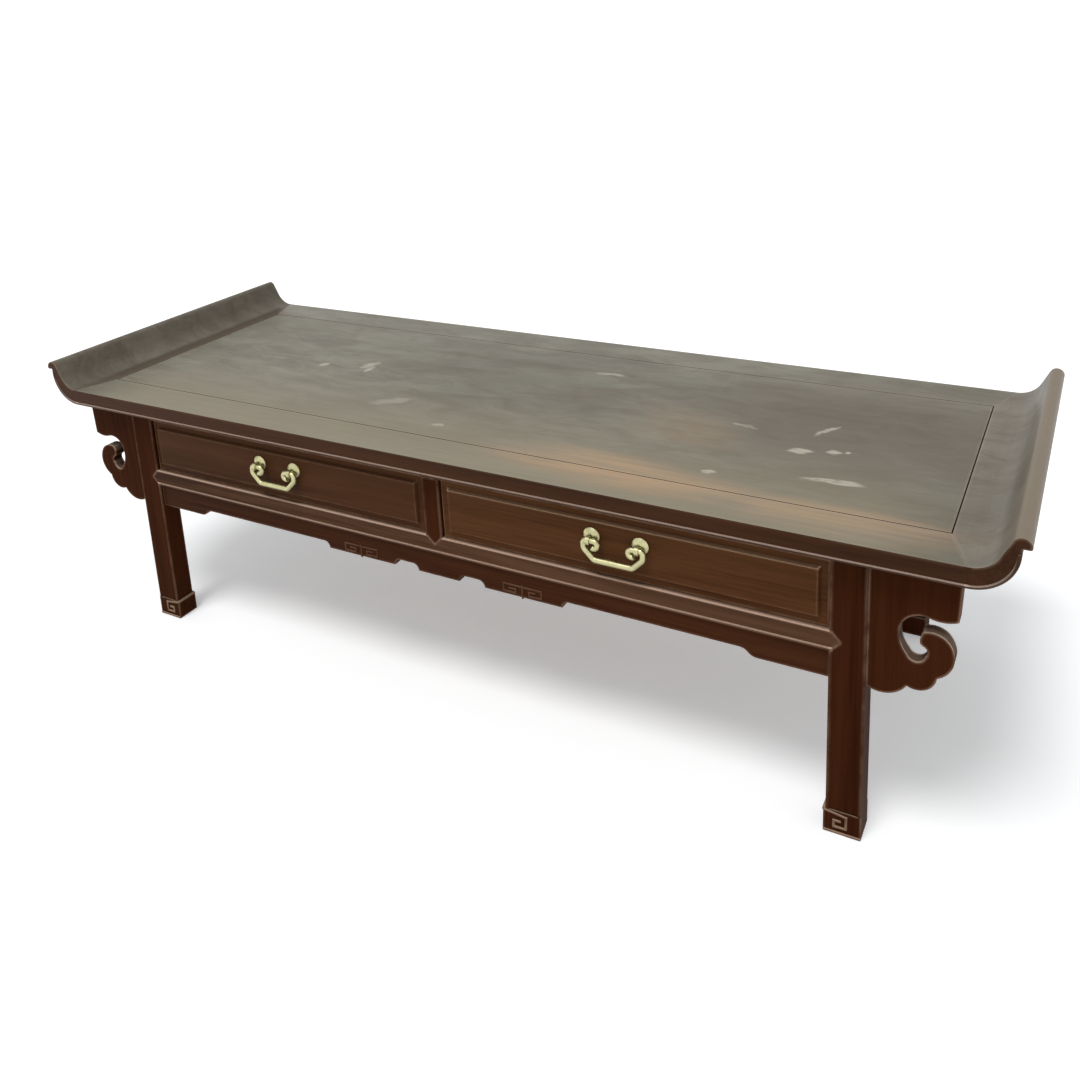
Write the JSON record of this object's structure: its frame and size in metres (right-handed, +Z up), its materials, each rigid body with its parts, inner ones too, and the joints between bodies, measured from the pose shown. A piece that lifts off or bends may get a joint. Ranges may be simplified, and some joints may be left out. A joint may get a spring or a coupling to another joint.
{
  "type": "coffee table",
  "caption": "Low rectangular hardwood coffee table with upturned scroll ends, framed panel top, front drawers with brass bail pulls, shaped aprons and pierced cloud spandrels.",
  "frame": {"origin": "on the floor, under the middle of the top", "axes": "+X along the table to the right of somebody facing the drawers, +Y from the front to the back, +Z up"},
  "size_m": [1.524, 0.538, 0.4495],
  "materials": {
    "top_wood": "worn satin",
    "dark_wood": "satin",
    "inner_wood": "plain",
    "brass": "polished, slightly dulled"
  },
  "bodies": {
    "carcase": {"centre_bearer": "inner_wood", "centre_guide": "inner_wood", "drawer_runner_left": "inner_wood", "drawer_runner_right": "inner_wood", "end_apron_left": "dark_wood", "end_apron_right": "dark_wood", "end_low_rail_left": "dark_wood", "end_low_rail_right": "dark_wood", "end_panel_left": "dark_wood", "end_panel_right": "dark_wood", "end_top_rail_left": "dark_wood", "end_top_rail_right": "dark_wood", "front_apron": "dark_wood", "front_divider": "dark_wood", "front_low_rail": "dark_wood", "front_top_rail": "dark_wood", "leg_front_left": "dark_wood", "leg_front_right": "dark_wood", "leg_rear_left": "dark_wood", "leg_rear_right": "dark_wood", "rear_apron": "dark_wood", "rear_divider": "dark_wood", "rear_low_rail": "dark_wood", "rear_panel_left": "dark_wood", "rear_panel_right": "dark_wood", "rear_top_rail": "dark_wood", "spandrel_front_left": "dark_wood", "spandrel_front_right": "dark_wood", "spandrel_rear_left": "dark_wood", "spandrel_rear_right": "dark_wood", "top_batten_centre": "inner_wood", "top_batten_left": "inner_wood", "top_batten_right": "inner_wood", "top_end_left": "top_wood", "top_end_right": "top_wood", "top_frame_front": "top_wood", "top_frame_rear": "top_wood", "top_panel": "top_wood"},
    "left_drawer": {"left_drawer_back": "inner_wood", "left_drawer_bottom": "inner_wood", "left_drawer_front": "dark_wood", "left_drawer_inner_side": "inner_wood", "left_drawer_outer_side": "inner_wood", "left_handle_nuts": "brass", "left_handle_posts": "brass"},
    "right_drawer": {"right_drawer_back": "inner_wood", "right_drawer_bottom": "inner_wood", "right_drawer_front": "dark_wood", "right_drawer_inner_side": "inner_wood", "right_drawer_outer_side": "inner_wood", "right_handle_nuts": "brass", "right_handle_posts": "brass"},
    "left_bail": {"left_bail": "brass"},
    "right_bail": {"right_bail": "brass"}
  },
  "joints": [
    {"name": "left_drawer_slide", "type": "slide", "parent": "carcase", "child": "left_drawer", "axis": [0, -1, 0], "range_m": [0, 0.3]},
    {"name": "left_bail_swing", "type": "hinge", "parent": "left_drawer", "child": "left_bail", "pos_m": [-0.284, -0.2567, 0.331], "axis": [-1, 0, 0], "range_deg": [-12, 190]},
    {"name": "right_drawer_slide", "type": "slide", "parent": "carcase", "child": "right_drawer", "axis": [0, -1, 0], "range_m": [0, 0.3]},
    {"name": "right_bail_swing", "type": "hinge", "parent": "right_drawer", "child": "right_bail", "pos_m": [0.284, -0.2567, 0.331], "axis": [-1, 0, 0], "range_deg": [-12, 190]}
  ]
}
